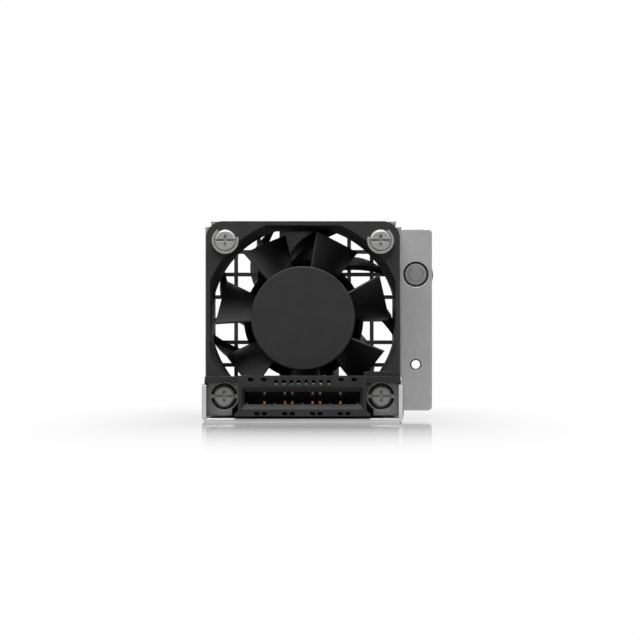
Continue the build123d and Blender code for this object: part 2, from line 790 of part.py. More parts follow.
def fan_screw(x, z, seat):
    """A long screw, its head in front of the seat, its end flush with the faceplate."""
    face = seat - HEAD_HEIGHT
    place = Pos(x, z)
    head = slab(place * Circle(HEAD_RADIUS), face, seat)
    head = chamfer(head.edges().sort_by(Axis.Y)[0], HEAD_EDGE)
    if z == LOWER_SCREW_Z:
        bar = Rectangle(2 * (COLLAR_BORE - PRESS_GAP), HEAD_BAR)
        head += slab(place * bar, face + HEAD_EDGE, seat)
    slot = Rectangle(2 * HEAD_RADIUS, HEAD_SLOT) + Rectangle(HEAD_SLOT, HEAD_RADIUS)
    head -= slab(place * slot, face, face + HEAD_SLOT_DEPTH)
    return head + slab(place * Circle(SCREW_RADIUS), seat, PLATE_BACK)


def fan_screws():
    seats = {UPPER_SCREW_Z: 0, LOWER_SCREW_Z: -LOWER_HEAD_BACK}
    return Compound(children=[fan_screw(x, z, seats[z]) for x, z in screw_places()])


def spacer_collar(x):
    """The lower screw's spacer, through the tab's hole, with a well for the head."""
    front = -TAB_FRONT - COLLAR_PROUD
    bore = SCREW_RADIUS + COLLAR_SHANK_GAP
    spacer = slab(Pos(x, LOWER_SCREW_Z) * Circle(COLLAR_RADIUS), front, 0)
    spacer -= slab(Pos(x, LOWER_SCREW_Z) * Circle(COLLAR_BORE), front, -LOWER_HEAD_BACK)
    return spacer - slab(Pos(x, LOWER_SCREW_Z) * Circle(bore), -LOWER_HEAD_BACK, 0)


def clip_collar(side):
    """The upper screw's open ring, on the fan's face."""
    bore = HEAD_RADIUS + CLIP_COLLAR_GAP
    ring = Circle(bore + CLIP_COLLAR_WALL) - Circle(bore)
    reach = 2 * COLLAR_RADIUS
    half = math.radians(CLIP_COLLAR_OPENING / 2)
    wedge = make_face(
        Polyline(
            (0, 0),
            (reach * math.cos(half), reach * math.sin(half)),
            (reach * math.cos(half), -reach * math.sin(half)),
            close=True,
        )
    )
    towards = 180 - CLIP_COLLAR_ANGLE if side > 0 else CLIP_COLLAR_ANGLE
    ring -= Rot(Z=towards) * wedge
    return slab(Pos(side * SCREW_X, UPPER_SCREW_Z) * ring, -CLIP_COLLAR_HEIGHT, 0)


def fan_screw_collars():
    lower = [spacer_collar(side * SCREW_X) for side in (-1, 1)]
    upper = [clip_collar(side) for side in (-1, 1)]
    return Compound(children=lower + upper)


def row(xs, z, width, height, y_from, y_to):
    """Equal rectangles in a row, made solid between two depths."""
    return [slab(Pos(x, z) * Rectangle(width, height), y_from, y_to) for x in xs]


def signal_places():
    return [(index - (SIGNAL_COUNT - 1) / 2) * CONTACT_PITCH for index in range(SIGNAL_COUNT)]


def housing_outline():
    """A block whose sides flare out into a foot."""
    foot = HOUSING_HALF_WIDTH + HOUSING_FOOT
    right = [
        (HOUSING_HALF_WIDTH, HOUSING_TOP),
        (HOUSING_HALF_WIDTH, HOUSING_LOW + HOUSING_FOOT_HEIGHT),
        (foot, HOUSING_LOW + HOUSING_FOOT_EDGE),
        (foot, HOUSING_LOW),
    ]
    left = [(-x, z) for x, z in reversed(right)]
    return make_face(Polyline(*right, *left, close=True))


def connector_housing():
    front = -HOUSING_FRONT
    back = -HOUSING_BACK
    housing = slab(housing_outline(), front, back)

    slot_height = SLOT_TOP - SLOT_LOW
    slot = Pos(0, SLOT_MIDDLE) * Rectangle(2 * SLOT_HALF_WIDTH, slot_height)
    rim = Pos(0, SLOT_MIDDLE) * Rectangle(
        2 * (SLOT_HALF_WIDTH + SLOT_RIM_SIDE), slot_height + 2 * SLOT_RIM_HEIGHT
    )
    throat = front + SLOT_RIM_DEPTH
    housing -= loft([Plane.XZ.offset(-front) * rim, Plane.XZ.offset(-throat) * slot], ruled=True)
    housing -= slab(slot, front, back)
    groove_height = slot_height + 2 * CONTACT_GROOVE_DEPTH
    housing -= row(CONTACT_X, SLOT_MIDDLE, CONTACT_GROOVE, groove_height, throat, back)

    dividers = [index * DIVIDER_PITCH for index in range(-2, 3)]
    for x in dividers:
        housing += slab(Pos(x, SLOT_LOW) * Circle(DIVIDER_RADIUS), throat, back)

    depth = front + WINDOW_DEPTH
    width, height = POWER_WINDOW
    power = [side * x for x in POWER_WINDOW_X for side in (-1, 1)]
    housing -= row(power, POWER_WINDOW_Z, width, height, front, depth)
    housing -= row(CONTACT_X, LOWER_WINDOW_Z, width, height, front, depth)
    signal_z = SIGNAL_WINDOW_LOW + SIGNAL_WINDOW_HEIGHT / 2
    return housing - row(
        signal_places(), signal_z, SIGNAL_WINDOW, SIGNAL_WINDOW_HEIGHT, front, depth
    )


def spring_contact(x):
    """An upper contact: a strip in its groove that bows into the slot near its mouth."""
    root = -HOUSING_BACK
    path = FilletPolyline(
        (root, SLOT_TOP + CONTACT_ROOT),
        (root - CONTACT_STRAIGHT, SLOT_TOP + CONTACT_ROOT),
        (root - CONTACT_BUMP_REACH, SLOT_MIDDLE + CONTACT_BUMP),
        (root - CONTACT_REACH, SLOT_MIDDLE + CONTACT_TIP),
        radius=CONTACT_BEND,
    )
    strip = trace(path, CONTACT_THICKNESS)
    return extrude(Plane.YZ.offset(x - CONTACT_WIDTH / 2) * strip, CONTACT_WIDTH)


def connector_contacts_upper():
    return Compound(children=[spring_contact(x) for x in LOADED_X])


def connector_contacts_lower():
    flip = Plane.XY.offset(SLOT_MIDDLE)
    return Compound(children=[mirror(spring_contact(x), about=flip) for x in LOADED_X])


def connector_signal_tips():
    z = SIGNAL_WINDOW_LOW + SIGNAL_TIP_THICKNESS / 2
    front = -HOUSING_FRONT + SIGNAL_TIP_SETBACK
    tips = row(
        signal_places(), z, SIGNAL_TIP_WIDTH, SIGNAL_TIP_THICKNESS, front, front + SIGNAL_TIP_LENGTH
    )
    return Compound(children=tips)


def connector_board():
    outline = Pos(0, (BOARD_LOW + BOARD_TOP) / 2) * Rectangle(
        2 * BOARD_HALF_WIDTH, BOARD_TOP - BOARD_LOW
    )
    return slab(outline, -HOUSING_BACK, -HOUSING_BACK + BOARD_THICKNESS)


def carrier_arm():
    """The right end of the crossbar, notched for the tab and the spacer collar."""
    bar = Rectangle(CARRIER_HALF_WIDTH - CARRIER_ARM_X, CARRIER_TOP - CARRIER_LOW)
    middle_x = (CARRIER_HALF_WIDTH + CARRIER_ARM_X) / 2
    arm = slab(Pos(middle_x, (CARRIER_TOP + CARRIER_LOW) / 2) * bar, -CARRIER_FRONT, -CARRIER_BACK)
    notch = Pos(BOX_HALF, 0) * Rectangle(
        2 * (BOX_HALF - TAB_INNER_X + CARRIER_FIT), 2 * (TAB_TOP + CARRIER_FIT)
    )
    arm -= slab(notch, -TAB_FRONT - CARRIER_FIT, -TAB_FRONT + SHEET + CARRIER_FIT)
    relief = Pos(SCREW_X, LOWER_SCREW_Z) * Circle(COLLAR_RADIUS + CARRIER_FIT)
    return arm - slab(relief, -CARRIER_FRONT, -CARRIER_BACK)


def connector_carrier():
    front = -HOUSING_BACK + BOARD_THICKNESS
    block = Pos(0, (SHEET + CARRIER_TOP) / 2) * Rectangle(
        2 * HOUSING_HALF_WIDTH, CARRIER_TOP - SHEET
    )
    bar = Pos(0, (CARRIER_LOW + CARRIER_TOP) / 2) * Rectangle(
        2 * SCREW_X, CARRIER_TOP - CARRIER_LOW
    )
    relief = Circle(COLLAR_RADIUS + CARRIER_FIT)
    outline = block + bar
    for side in (-1, 1):
        outline -= Pos(side * SCREW_X, LOWER_SCREW_Z) * relief
    carrier = slab(outline, front, -CARRIER_BACK)
    carrier += both_sides(carrier_arm())
    step = Pos((CARRIER_STEP_X + CARRIER_HALF_WIDTH) / 2, CARRIER_TOP) * RectangleRounded(
        CARRIER_HALF_WIDTH - CARRIER_STEP_X, 2 * CARRIER_STEP, CARRIER_STEP_CORNER
    )
    above = Pos(0, CARRIER_TOP + CARRIER_STEP) * Rectangle(2 * FAN_SIZE, 2 * CARRIER_STEP)
    carrier += slab(step & above, -CARRIER_STEP_FRONT, -CARRIER_BACK)
    peg_height = SHEET - PEG_RECESS
    peg = Pos(PEG_X, PEG_Y, PEG_RECESS + peg_height / 2) * Cylinder(PEG_RADIUS, peg_height)
    return carrier + both_sides(peg)


def thumbscrew_ferrule():
    """Flanged bush in the ear's hole; its sleeve ends in a lip that keeps the screw."""
    bore = PANEL_TIP_RADIUS + FERRULE_BORE_GAP
    lip = PANEL_NECK_RADIUS + FERRULE_LIP_GAP
    return turned(
        FIXING_X,
        PANEL_SCREW_Z,
        (bore, FAN_DEPTH),
        (FERRULE_SHANK_RADIUS, FAN_DEPTH),
        (FERRULE_SHANK_RADIUS, PLATE_BACK),
        (FERRULE_FLANGE_RADIUS, PLATE_BACK),
        (FERRULE_FLANGE_RADIUS, FERRULE_SEAT),
        (FERRULE_SLEEVE_RADIUS, FERRULE_SEAT),
        (FERRULE_SLEEVE_RADIUS, SLEEVE_BACK),
        (lip, SLEEVE_BACK),
        (lip, SLEEVE_FLOOR),
        (bore, SLEEVE_FLOOR),
    )


def thumbscrew_screw():
    tip_back = FAN_DEPTH + PANEL_TIP_LENGTH
    end = KNOB_BACK - KNOB_SLOT[2] - KNOB_WALL
    return turned(
        FIXING_X,
        PANEL_SCREW_Z,
        (0, FAN_DEPTH),
        (PANEL_TIP_RADIUS - PANEL_TIP_CHAMFER, FAN_DEPTH),
        (PANEL_TIP_RADIUS, FAN_DEPTH + PANEL_TIP_CHAMFER),
        (PANEL_TIP_RADIUS, tip_back),
        (PANEL_NECK_RADIUS, tip_back),
        (PANEL_NECK_RADIUS, end),
        (0, end),
    )


def thumbscrew_knob():
    """A fluted cup over the spring, with a driver slot across its outer end."""
    bore = PANEL_NECK_RADIUS + KNOB_SHANK_GAP
    end = KNOB_BACK - KNOB_SLOT[2] - KNOB_WALL
    inner = KNOB_RADIUS - KNOB_WALL
    knob = turned(
        FIXING_X,
        PANEL_SCREW_Z,
        (bore, KNOB_FLOOR),
        (inner, KNOB_FLOOR),
        (inner, KNOB_FRONT),
        (KNOB_RADIUS, KNOB_FRONT),
        (KNOB_RADIUS, KNOB_BACK - KNOB_EDGE),
        (KNOB_RADIUS - KNOB_EDGE, KNOB_BACK),
        (0, KNOB_BACK),
        (0, end),
        (bore, end),
    )
    groove = RegularPolygon(KNOB_FLUTE_RADIUS, KNOB_FLUTE_SIDES)
    flutes = Sketch() + [place * groove for place in PolarLocations(KNOB_RADIUS, KNOB_FLUTES)]
    place = Pos(FIXING_X, PANEL_SCREW_Z)
    knob -= slab(place * flutes, KNOB_FRONT + KNOB_EDGE, KNOB_BACK)
    width, length, depth = KNOB_SLOT
    return knob - slab(place * Rectangle(length, width), KNOB_BACK - depth, KNOB_BACK)


def thumbscrew_washer():
    bore = PANEL_NECK_RADIUS + WASHER_GAP
    washer = Pos(FIXING_X, PANEL_SCREW_Z) * (Circle(WASHER_RADIUS) - Circle(bore))
    return slab(washer, WASHER_FRONT, WASHER_FRONT + WASHER_THICKNESS)


def thumbscrew_spring():
    radius = (FERRULE_SLEEVE_RADIUS + KNOB_RADIUS - KNOB_WALL) / 2
    return coil_spring(
        FIXING_X,
        PANEL_SCREW_Z,
        FERRULE_SEAT,
        WASHER_FRONT,
        radius,
        PANEL_SPRING_WIRE,
        PANEL_SPRING_TURNS,
    )


NODES = {
    "tray": tray,
    "faceplate": faceplate,
    "top_flange": top_flange,
    "fan_frame": fan_frame,
    "motor_base": motor_base,
    "impeller": impeller,
    "rotor_yoke": rotor_yoke,
    "rotor_magnet": rotor_magnet,
    "shaft_boss": shaft_boss,
    "rotor_shaft": rotor_shaft,
    "shaft_clip": shaft_clip,
    "preload_spring": preload_spring,
    "bearing_inner_rings": bearing_inner_rings,
    "bearing_outer_rings": bearing_outer_rings,
    "bearing_balls": bearing_balls,
    "bearing_cages": bearing_cages,
    "bearing_tube": bearing_tube,
    "stator_core": stator_core,
    "stator_insulators": stator_insulators,
    "stator_coils": stator_coils,
    "motor_board": motor_board,
    "driver_chip": driver_chip,
    "fan_screws": fan_screws,
    "fan_screw_collars": fan_screw_collars,
    "connector_carrier": connector_carrier,
    "connector_housing": connector_housing,
    "connector_contacts_upper": connector_contacts_upper,
    "connector_contacts_lower": connector_contacts_lower,
    "connector_signal_tips": connector_signal_tips,
    "connector_board": connector_board,
    "thumbscrew_ferrule": thumbscrew_ferrule,
    "thumbscrew_screw": thumbscrew_screw,
    "thumbscrew_knob": thumbscrew_knob,
    "thumbscrew_washer": thumbscrew_washer,
    "thumbscrew_spring": thumbscrew_spring,
}


def main():
    os.makedirs("parts", exist_ok=True)
    for name, make in NODES.items():
        export_step(make(), f"parts/{name}.step")


if __name__ == "__main__":
    main()
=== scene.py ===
"""Looks of the hot-swappable fan module: finishes, fine detail, light, floor and camera.

Metres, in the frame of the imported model: +Y towards the faceplate, +Z up, and the origin
on the tray's underside in the plane of the fan's intake face.
"""

import json
import math

import bpy
from mathutils import Matrix, Vector


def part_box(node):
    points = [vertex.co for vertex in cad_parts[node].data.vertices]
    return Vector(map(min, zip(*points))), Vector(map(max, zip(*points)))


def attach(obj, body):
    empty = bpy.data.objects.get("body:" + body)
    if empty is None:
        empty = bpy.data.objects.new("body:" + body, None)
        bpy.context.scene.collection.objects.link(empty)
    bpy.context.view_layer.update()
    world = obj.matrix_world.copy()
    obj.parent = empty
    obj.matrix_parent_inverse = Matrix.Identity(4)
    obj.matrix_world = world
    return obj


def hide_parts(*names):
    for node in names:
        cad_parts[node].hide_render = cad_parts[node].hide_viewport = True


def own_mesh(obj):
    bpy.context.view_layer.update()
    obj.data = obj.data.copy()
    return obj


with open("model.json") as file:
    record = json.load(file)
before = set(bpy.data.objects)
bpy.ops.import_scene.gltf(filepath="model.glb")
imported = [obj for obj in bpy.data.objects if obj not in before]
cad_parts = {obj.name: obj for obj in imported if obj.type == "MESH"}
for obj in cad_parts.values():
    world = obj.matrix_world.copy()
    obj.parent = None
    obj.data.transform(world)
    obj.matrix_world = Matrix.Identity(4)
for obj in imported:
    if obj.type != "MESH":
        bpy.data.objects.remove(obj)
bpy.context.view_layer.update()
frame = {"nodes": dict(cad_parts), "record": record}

MM = 0.001

# Camera, in front of the connector, level, close to the tray's floor
CAMERA_PLACE = (4.04 * MM, -521.0 * MM, 14.87 * MM)
CAMERA_LENS = 142.1
CAMERA_SHIFT = (-0.0039, 0.0452)
CAMERA_CLIP = (0.01, 20)

# Light: the sky's levels overhead, at the horizon and underfoot, the horizon's place in
# that ramp, and one soft lamp
SKY_TOP = 0.75
SKY_LEVEL = 0.22
SKY_BOTTOM = 0.03
SKY_HORIZON = 0.5
KEY_PLACE = (-60 * MM, -260 * MM, 560 * MM)
KEY_SIZE = 420 * MM
KEY_POWER = 2.5
AIM = (4 * MM, 10 * MM, 20 * MM)

# Dim card behind the camera, seen only in reflections
CARD_SIZE = (3.6, 1.5)
CARD_Y = -0.9
CARD_LOW = 0.07
CARD_HIGH = 0.6
CARD_RISE = 0.5

# Floor, which mirrors the object softly and lies dimmer towards the card
FLOOR_SIZE = 6.0
FLOOR_GLOW = 1.0
FLOOR_COLOUR = (0.25, 0.25, 0.25, 1)
FOOTPRINT = ((-20.9 * MM, 20.9 * MM), (-10.3 * MM, 28.8 * MM))
MIRROR_SHARE = 0.88
MIRROR_START = 10 * MM
MIRROR_END = 160 * MM
MIRROR_FALL = 1.8
MIRROR_SIDE = 4.0
MIRROR_STEEP = 0.25
MIRROR_SLANTS = (0.66, 0.94)
MIRROR_ROUGHNESS = 0.06
FLOOR_NEAR_GLOW = 0.8
FLOOR_FAR_GLOW = 0.1
FLOOR_FAR = 200 * MM

# How round edges look: ordinary ones, the sheet's folds and those of the finest pieces
EDGE_RADIUS = 0.12 * MM
FOLD_RADIUS = 0.3 * MM
FINE = 0.03 * MM
EDGE_SAMPLES = 4

# Textures, as spots per millimetre and their detail, and how far roughness goes either way
CLOUD = (0.25, 4.0)
PATCHES = (1.2, 3.0)
STAIN = (0.12, 4.0)
GRAIN_DETAIL = 2.0
LINE_DETAIL = 3.0
PLASTIC_ROUGHNESS = (-0.05, 0.07)
METAL_ROUGHNESS = (-0.07, 0.08)
PLASTIC_IOR = 1.45
PLASTIC_SPECULAR = 0.35

# Sheet steel: painted shade, its levels fading along a direction over a span in millimetres
SHEET_SHADE_LEVELS = (0.26, 0.95)
SHEET_SHADE_FADE = ((0, 1, 0.35), -5, 40)
SHEET_STAIN = 0.1
SHEET_SHINE = 0.7
STROKES = (5.0, 4.0, (1, 1, 0.08))
STROKE_SHARE = 0.14

# Cut edges at the tray's front, bare steel made near-white with a painted highlight: how far
# forward and how high they lie, in millimetres
CUT_EDGE_HIGHLIGHT_LEVEL = 0.95
CUT_SPAN = (9.9, 10.25)
FLOOR_SPAN = (0.8, 1.6)
CUT_FLOOR_SHINE = 1.0
CUT_WALL_SHINE = 0.2

# Screw steel, with painted shade: lighter high up and towards the front
SCREW_SHADED = (0.42, 0.415, 0.405)
SCREW_LIT = (0.74, 0.735, 0.72)
SCREW_SHADE_FADE = ((0, -0.5, 1), 10, 36)
SCREW_STAIN = 0.12
SCREW_SHINE = 0.6

# Painted shade in narrow gaps between metal pieces, found by ambient occlusion, but not across
# the captive screw's face
GAP_REACH = 1.2 * MM
GAP_DARK = 0.35
GAP_CLEAR = 0.65
PAINTED_SHADE_LEVEL = 0.01
GAP_SAMPLES = 8
CAPTIVE_DISC = "thumbscrew_screw"
CAPTIVE_UNSHADED = (2.2 * MM, 0.3 * MM)

# Painted shade round the light hole's countersink, on the ear's inner face
LIGHT_HOLE = (24.3 * MM, 0, 11.5 * MM)
LIGHT_RIM_SHADE = (1.2 * MM, 0.06 * MM)
LIGHT_SINK_SPAN = (-28.45, -28.35)

# Spring of the captive screw
SPRING_WIRE = 0.2 * MM
SPRING_TURNS = 4
SPRING_STEPS = 40
SPRING_SIDES = 10

# Motor base, in millimetres: the cup's outer and inner radius, its floor's thickness, how
# far its rim lies behind the vanes' front, and the boss's two radii and height
BASE_WALL = (12.8, 11.9)
BASE_FLOOR = 1.2
BASE_RIM = 0.2
BASE_BOSS = (4.67, 3.57, 5.0)
BASE_STEPS = 120

# Guide vanes, in millimetres from the fan's axis: each long edge has the span of its x, and
# then an origin, a height, a slope and a bend, for z = height + slope u + bend u u, where u
# is x minus the origin. They end a hair inside the fan's square.
VANE_COUNT = 9
VANE_HALF = 0.5
VANE_STEPS = 12
VANE_FRONT_EDGE = ((6.3, 17.3), 8.3, 10.9, 0.107, -0.0231)
VANE_BACK_EDGE = ((4.9, 16.6), 8.27, 12.75, 0.313, -0.066)
VANE_SPARE = 0.01


def maths(tree, operation, *values):
    """A math node; each value is a number or another node's output."""
    node = tree.nodes.new("ShaderNodeMath")
    node.operation = operation
    for socket, value in zip(node.inputs, values):
        if isinstance(value, (int, float)):
            socket.default_value = value
        else:
            tree.links.new(value, socket)
    return node.outputs[0]


class Nodes:
    """A few short calls for building one material's nodes."""

    def __init__(self, name):
        self.material = bpy.data.materials.new(name)
        self.material.use_nodes = True
        self.tree = self.material.node_tree
        self.shader = self.tree.nodes["Principled BSDF"]

    def add(self, kind, **inputs):
        node = self.tree.nodes.new(kind)
        for name, value in inputs.items():
            node.inputs[name.replace("_", " ")].default_value = value
        return node

    def join(self, output, socket):
        self.tree.links.new(output, socket)

    def set(self, **inputs):
        for name, value in inputs.items():
            self.shader.inputs[name.replace("_", " ")].default_value = value

    def place(self, stretch=(1, 1, 1)):
        coords = self.add("ShaderNodeTexCoord")
        mapping = self.add("ShaderNodeMapping", Scale=stretch)
        self.join(coords.outputs["Object"], mapping.inputs["Vector"])
        return mapping.outputs["Vector"]

    def noise(self, per_mm, detail=3.0, stretch=(1, 1, 1)):
        node = self.add("ShaderNodeTexNoise", Scale=per_mm / MM, Detail=detail)
        self.join(self.place(stretch), node.inputs["Vector"])
        return node.outputs["Fac"]

    def spread(self, value, low, high, start=0.3, end=0.7):
        node = self.add("ShaderNodeMapRange")
        for name, number in (
            ("From Min", start),
            ("From Max", end),
            ("To Min", low),
            ("To Max", high),
        ):
            node.inputs[name].default_value = number
        self.join(value, node.inputs["Value"])
        return node.outputs["Result"]

    def along(self, way, start, end):
        """0 before the start and 1 past the end, in millimetres along a direction."""
        node = self.add("ShaderNodeVectorMath")
        node.operation = "DOT_PRODUCT"
        node.inputs[1].default_value = way
        self.join(self.place(), node.inputs[0])
        return self.spread(node.outputs["Value"], 0, 1, start * MM, end * MM)

    def blend(self, share, first, second):
        """The first value, with this share of the second."""
        node = self.add("ShaderNodeMix")
        if isinstance(share, float):
            node.inputs["Factor"].default_value = share
        else:
            self.join(share, node.inputs["Factor"])
        self.join(first, node.inputs["A"])
        self.join(second, node.inputs["B"])
        return node.outputs["Result"]

    def within(self, middle, radius, soft):
        """1 inside a radius of the point, seen along Y, and 0 past the soft edge."""
        offset = self.add("ShaderNodeVectorMath")
        offset.operation = "SUBTRACT"
        offset.inputs[1].default_value = middle
        self.join(self.place(), offset.inputs[0])
        flat = self.add("ShaderNodeVectorMath")
        flat.operation = "MULTIPLY"
        flat.inputs[1].default_value = (1, 0, 1)
        self.join(offset.outputs[0], flat.inputs[0])
        length = self.add("ShaderNodeVectorMath")
        length.operation = "LENGTH"
        self.join(flat.outputs[0], length.inputs[0])
        return self.spread(length.outputs["Value"], 1, 0, radius, radius + soft)

    def painted_gap_shade(self, colour, unshaded):
        """The colour, with painted shade in narrow gaps, except where the value unshaded is 1.
        """
        node = self.add("ShaderNodeAmbientOcclusion", Distance=GAP_REACH)
        node.samples = GAP_SAMPLES
        depth = self.spread(node.outputs["AO"], 0, 1, GAP_DARK, GAP_CLEAR)
        return self.colours(maths(self.tree, "MAXIMUM", depth, unshaded), grey(PAINTED_SHADE_LEVEL), colour)

    def colours(self, share, first, second):
        """The first colour, with this share of the second; a colour is numbers or an output."""
        node = self.add("ShaderNodeMix")
        node.data_type = "RGBA"
        self.join(share, node.inputs["Factor"])
        for name, colour in (("A", first), ("B", second)):
            if isinstance(colour, tuple):
                node.inputs[name].default_value = (*colour, 1)
            else:
                self.join(colour, node.inputs[name])
        return node.outputs["Result"]

    def stains(self):
        """Faint large stains, 0 to 1."""
        return self.spread(self.noise(*STAIN), 0, 1)

    def tint(self, value, dark, light):
        self.paint(self.colours(value, dark, light))

    def paint(self, colour):
        self.join(colour, self.shader.inputs["Base Color"])

    def rough(self, value, low, high):
        self.join(self.spread(value, low, high), self.shader.inputs["Roughness"])

    def bump(self, value, depth, soften=EDGE_RADIUS):
        node = self.add("ShaderNodeBump", Strength=1.0, Distance=depth)
        self.join(value, node.inputs["Height"])
        edge = self.add("ShaderNodeBevel", Radius=soften)
        edge.samples = EDGE_SAMPLES
        self.join(edge.outputs["Normal"], node.inputs["Normal"])
        self.join(node.outputs["Normal"], self.shader.inputs["Normal"])


def grey(level):
    return (level, level, level * 1.01)


def middle_of(name):
    low, high = (Vector(corner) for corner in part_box(name))
    return (low + high) / 2


def moulded(name, dark, light, roughness, grain, depth):
    """Moulded plastic: a faint cloudiness and a fine spark-eroded grain."""
    nodes = Nodes(name)
    nodes.tint(nodes.spread(nodes.noise(*CLOUD), 0, 1), dark, light)
    nodes.rough(nodes.noise(*PATCHES), *(roughness + change for change in PLASTIC_ROUGHNESS))
    nodes.bump(nodes.noise(grain, GRAIN_DETAIL), depth)
    nodes.set(IOR=PLASTIC_IOR, Specular_IOR_Level=PLASTIC_SPECULAR)
    return nodes.material


def metal(name, dark, light, roughness, grain, depth, stretch=(1, 1, 1), soften=EDGE_RADIUS):
    """Satin or brushed metal: fine lines along one direction, with faint stains."""
    nodes = Nodes(name)
    nodes.tint(nodes.stains(), dark, light)
    brushed(nodes, roughness, grain, depth, stretch, soften)
    return nodes.material


def brushed(nodes, roughness, grain, depth, stretch, soften, shine=1.0):
    """The lines, sheen and edges of a metal whose colour is there already."""
    lines = nodes.noise(grain, LINE_DETAIL, stretch)
    nodes.rough(lines, *(roughness + change for change in METAL_ROUGHNESS))
    nodes.bump(lines, depth, soften)
    nodes.set(Metallic=shine)


def sheet_colour(nodes, cut):
    """Painted shade, darker on the tabs than on the ear; cut edges bare and lightened by a
    painted highlight; painted shade in gaps and round the countersink.
    """
    # Painted shade, darker towards the tabs at the front and low down, mixed with real stains
    # and brush strokes
    fade = nodes.blend(SHEET_STAIN, nodes.along(*SHEET_SHADE_FADE), nodes.stains())
    strokes = nodes.spread(nodes.noise(*STROKES), 0, 1)
    fade = nodes.blend(STROKE_SHARE, fade, strokes)
    colour = nodes.colours(fade, *(grey(level) for level in SHEET_SHADE_LEVELS))
    # Near-white cut edges, bare steel with a painted highlight, then painted shade in narrow
    # gaps
    colour = nodes.painted_gap_shade(nodes.colours(cut, colour, grey(CUT_EDGE_HIGHLIGHT_LEVEL)), cut)
    # Painted shade round the light hole, on the ear's inner face only
    hole = nodes.within(LIGHT_HOLE, *LIGHT_RIM_SHADE)
    inside = nodes.along((0, -1, 0), *LIGHT_SINK_SPAN)
    painted_rim_shade = maths(nodes.tree, "MULTIPLY", hole, inside)
    return nodes.colours(painted_rim_shade, colour, grey(PAINTED_SHADE_LEVEL))


def sheet_steel():
    """Brushed sheet, with bare cut edges at the front lightened by a painted highlight."""
    nodes = Nodes("sheet_steel")
    # Cut edges at the front: bare steel, lightened further as a painted highlight
    cut = nodes.along((0, -1, 0), *CUT_SPAN)
    nodes.paint(sheet_colour(nodes, cut))
    brushed(
        nodes,
        roughness=0.42,
        grain=9.0,
        depth=0.3e-6,
        stretch=(1, 1, 0.04),
        soften=FOLD_RADIUS,
        shine=SHEET_SHINE,
    )
    upright = nodes.along((0, 0, 1), *FLOOR_SPAN)
    shines = (shine - SHEET_SHINE for shine in (CUT_FLOOR_SHINE, CUT_WALL_SHINE))
    change = nodes.spread(upright, *shines, 0, 1)
    shine = maths(nodes.tree, "MULTIPLY_ADD", cut, change, SHEET_SHINE)
    nodes.join(shine, nodes.shader.inputs["Metallic"])
    return nodes.material


def screw_steel():
    """Plated steel, with painted shade that makes it brightest on the fan's upper screws."""
    nodes = Nodes("screw_steel")
    # Painted shade, lighter high up and towards the front, with faint real stains
    fade = nodes.blend(SCREW_STAIN, nodes.along(*SCREW_SHADE_FADE), nodes.stains())
    # Painted shade in narrow gaps, but not across the captive screw's face
    unshaded = nodes.within(middle_of(CAPTIVE_DISC), *CAPTIVE_UNSHADED)
    nodes.paint(nodes.painted_gap_shade(nodes.colours(fade, SCREW_SHADED, SCREW_LIT), unshaded))
    brushed(
        nodes,
        roughness=0.4,
        grain=6.0,
        depth=0.5e-6,
        stretch=(1, 0.2, 1),
        soften=EDGE_RADIUS,
        shine=SCREW_SHINE,
    )
    return nodes.material


def black_plastic():
    return moulded(
        "black_plastic",
        dark=grey(0.041),
        light=grey(0.050),
        roughness=0.56,
        grain=5.0,
        depth=1.2e-6,
    )


def impeller_plastic():
    return moulded(
        "impeller_plastic",
        dark=grey(0.043),
        light=grey(0.051),
        roughness=0.5,
        grain=7.0,
        depth=0.8e-6,
    )


def connector_plastic():
    return moulded(
        "connector_plastic",
        dark=grey(0.035),
        light=grey(0.044),
        roughness=0.46,
        grain=7.0,
        depth=0.7e-6,
    )


def knob_metal():
    return metal(
        "knob_metal",
        dark=(0.55, 0.55, 0.55),
        light=(0.62, 0.62, 0.62),
        roughness=0.3,
        grain=5.0,
        depth=0.2e-6,
        stretch=(1, 6, 1),
    )


def rotor_steel():
    return metal(
        "rotor_steel",
        dark=(0.28, 0.28, 0.29),
        light=(0.36, 0.36, 0.37),
        roughness=0.45,
        grain=3.0,
        depth=0.5e-6,
        stretch=(1, 6, 1),
    )


def magnet():
    return moulded(
        "magnet",
        dark=(0.045, 0.04, 0.037),
        light=(0.07, 0.062, 0.056),
        roughness=0.6,
        grain=6.0,
        depth=1.5e-6,
    )


def brass():
    return metal(
        "brass",
        dark=(0.68, 0.5, 0.22),
        light=(0.78, 0.6, 0.3),
        roughness=0.28,
        grain=5.0,
        depth=0.4e-6,
        stretch=(1, 8, 1),
    )


def bearing_steel():
    return metal(
        "bearing_steel",
        dark=grey(0.62),
        light=grey(0.7),
        roughness=0.15,
        grain=5.0,
        depth=0.15e-6,
        stretch=(1, 5, 1),
    )


def cage_steel():
    return metal(
        "cage_steel",
        dark=(0.5, 0.47, 0.4),
        light=(0.6, 0.57, 0.5),
        roughness=0.4,
        grain=5.0,
        depth=0.4e-6,
    )


def spring_steel():
    return metal(
        "spring_steel",
        dark=grey(0.42),
        light=grey(0.52),
        roughness=0.25,
        grain=6.0,
        depth=0.3e-6,
    )


def lamination():
    """Stacked sheets, seen as fine lines across the axis."""
    return metal(
        "lamination",
        dark=grey(0.24),
        light=grey(0.32),
        roughness=0.45,
        grain=1.0,
        depth=8e-6,
        stretch=(0.05, 4, 0.05),
    )


def insulator():
    return moulded(
        "insulator",
        dark=(0.66, 0.64, 0.56),
        light=(0.72, 0.7, 0.63),
        roughness=0.4,
        grain=4.0,
        depth=1e-6,
    )


def winding():
    return metal(
        "winding",
        dark=(0.45, 0.17, 0.07),
        light=(0.6, 0.27, 0.12),
        roughness=0.3,
        grain=3.0,
        depth=20e-6,
    )


